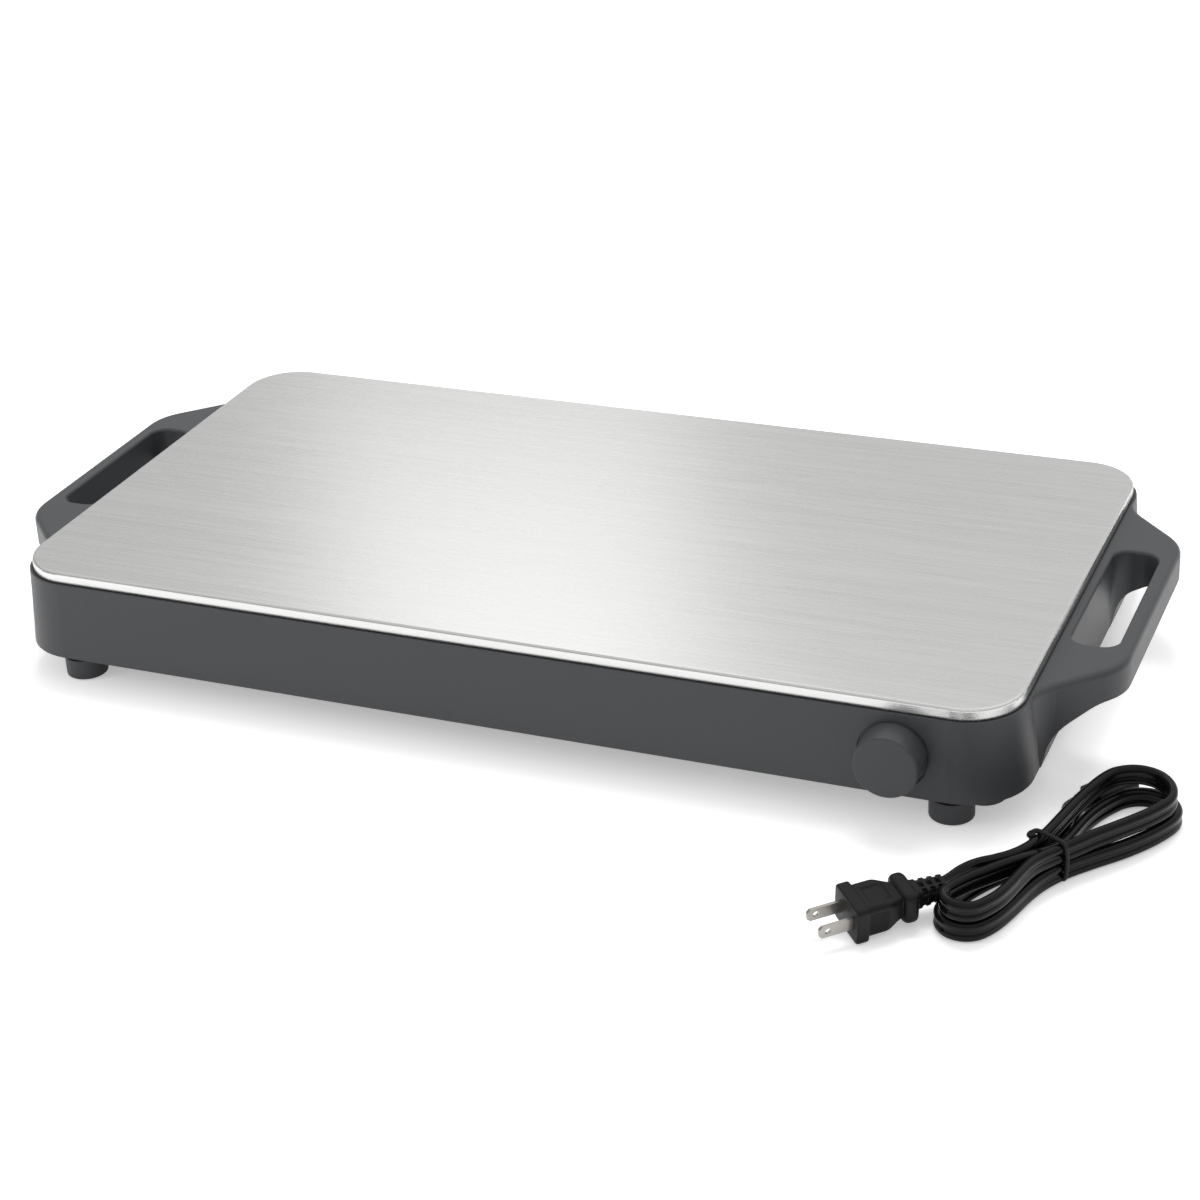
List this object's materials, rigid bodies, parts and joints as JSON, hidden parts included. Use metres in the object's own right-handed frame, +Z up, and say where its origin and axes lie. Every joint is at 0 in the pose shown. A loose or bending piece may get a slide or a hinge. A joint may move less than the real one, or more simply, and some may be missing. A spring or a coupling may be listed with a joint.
{
  "type": "electric food warmer tray",
  "caption": "Flat electric warming tray: brushed steel plate on a grey housing with end handles, a front control knob, short feet, and a detachable tied-up mains lead.",
  "frame": {"origin": "middle of the tray's footprint, knob included, on the surface its feet stand on", "axes": "+X along the tray's length to the user's right, +Y away from the user, +Z up"},
  "size_m": [0.6776, 0.4262, 0.067],
  "materials": {
    "brushed_plate": "brushed along its length",
    "housing_grey": "fine moulded satin",
    "black_enamel": "semi-gloss black",
    "zinc": "zinc plated",
    "aluminium_sheet": "mill finish",
    "rod_steel": "heat-darkened steel",
    "white_ceramic": "unglazed",
    "wool": "mineral wool",
    "black_moulding": "smooth moulded",
    "brass": "plain",
    "plated_brass": "nickel plated",
    "wire_cover": "silicone sleeve",
    "black_pvc": "soft glossy PVC",
    "tie_rubber": "soft",
    "seal_rubber": "soft"
  },
  "bodies": {
    "root": {"base_pan": "black_enamel", "contact_leaf": "brass", "foot_back_left": "housing_grey", "foot_back_right": "housing_grey", "foot_front_left": "housing_grey", "foot_front_right": "housing_grey", "foot_pad_back_left": "seal_rubber", "foot_pad_back_right": "seal_rubber", "foot_pad_front_left": "seal_rubber", "foot_pad_front_right": "seal_rubber", "foot_screws": "zinc", "fuse_strap": "zinc", "fuse_wire": "wire_cover", "hank_tie": "tie_rubber", "heat_spreader": "aluminium_sheet", "heating_rod": "rod_steel", "housing": "housing_grey", "inlet_pins": "plated_brass", "inlet_screws": "zinc", "insulation_wool": "wool", "lead_connector": "black_pvc", "lead_hank": "black_pvc", "live_wire": "wire_cover", "neutral_wire": "wire_cover", "pan_screws": "zinc", "plate_clamps": "zinc", "plate_gasket": "seal_rubber", "plate_studs": "zinc", "plug_body": "black_pvc", "plug_prongs": "plated_brass", "power_inlet": "black_moulding", "reflector_tray": "aluminium_sheet", "rod_seals": "white_ceramic", "rod_straps": "zinc", "rod_terminals": "rod_steel", "stud_nuts": "zinc", "switched_wire": "wire_cover", "thermal_fuse": "rod_steel", "thermostat_body": "black_moulding", "thermostat_nut": "brass", "thermostat_tabs": "brass", "top_plate": "brushed_plate"},
    "knob": {"control_knob": "housing_grey", "thermostat_spindle": "brass"},
    "adjuster": {"thermostat_pin": "white_ceramic"}
  },
  "joints": [
    {"name": "knob_turn", "type": "hinge", "parent": "root", "child": "knob", "pos_m": [0.223, -0.1464, 0.0388], "axis": [0, 1, 0], "range_deg": [0, 270]},
    {"name": "pin_slide", "type": "slide", "parent": "root", "child": "adjuster", "axis": [0, 1, 0], "range_m": [0, 0.0012]}
  ],
  "couplings": [
    {"joint": "pin_slide", "follows": "knob_turn", "m_per_rad": 0.0002546}
  ]
}
